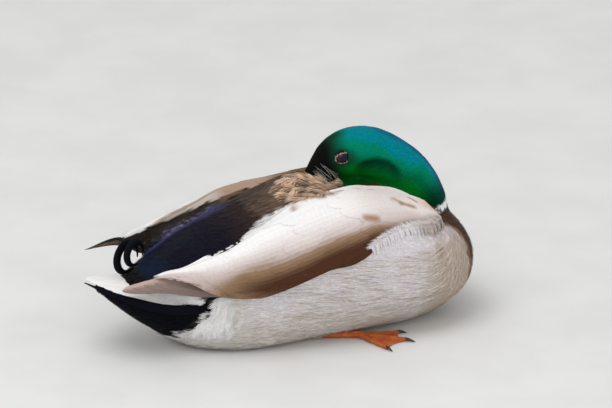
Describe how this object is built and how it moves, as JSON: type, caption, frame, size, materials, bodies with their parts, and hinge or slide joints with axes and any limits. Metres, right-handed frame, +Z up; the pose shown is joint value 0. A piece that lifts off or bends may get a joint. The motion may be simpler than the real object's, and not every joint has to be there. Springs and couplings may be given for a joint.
{
  "type": "mallard duck",
  "caption": "Life-size still model of a drake mallard at rest on its belly, head turned back and bill tucked into the feathers of its back.",
  "frame": {"origin": "middle of the footprint, at the level the belly and feet rest on", "axes": "+X towards the breast, along the body; +Y towards the bird's left side; +Z up"},
  "size_m": [0.4098, 0.204, 0.2029],
  "materials": {
    "belly_feathers": "soft pale grey feathers with fine wavy lines",
    "undertail_feathers": "soft black feathers",
    "tail_feathers": "smooth white vanes with dark edges",
    "head_feathers": "short glossy green feathers with a blue sheen",
    "neck_feathers": "short glossy blue-green feathers",
    "bill_horn": "satin yellow horn",
    "eye": "dark brown, wet gloss",
    "wing_feathers": "smooth overlapping pale vanes",
    "flight_feathers": "smooth grey-brown vanes with pale shafts",
    "curled_feathers": "black vanes with a slight sheen",
    "leg_skin": "orange scaled skin, satin"
  },
  "bodies": {
    "root": {"trunk": "belly_feathers", "undertail": "undertail_feathers", "tail": "tail_feathers", "neck": "neck_feathers", "head": "head_feathers", "bill_upper": "bill_horn", "bill_lower": "bill_horn", "eye_left": "eye", "eye_right": "eye", "wing_left": "wing_feathers", "wing_right": "wing_feathers", "primaries_left": "flight_feathers", "primaries_right": "flight_feathers", "foot_left": "leg_skin", "foot_right": "leg_skin", "leg_left": "leg_skin", "leg_right": "leg_skin", "tail_curl_left": "curled_feathers", "tail_curl_right": "curled_feathers"}
  },
  "joints": []
}
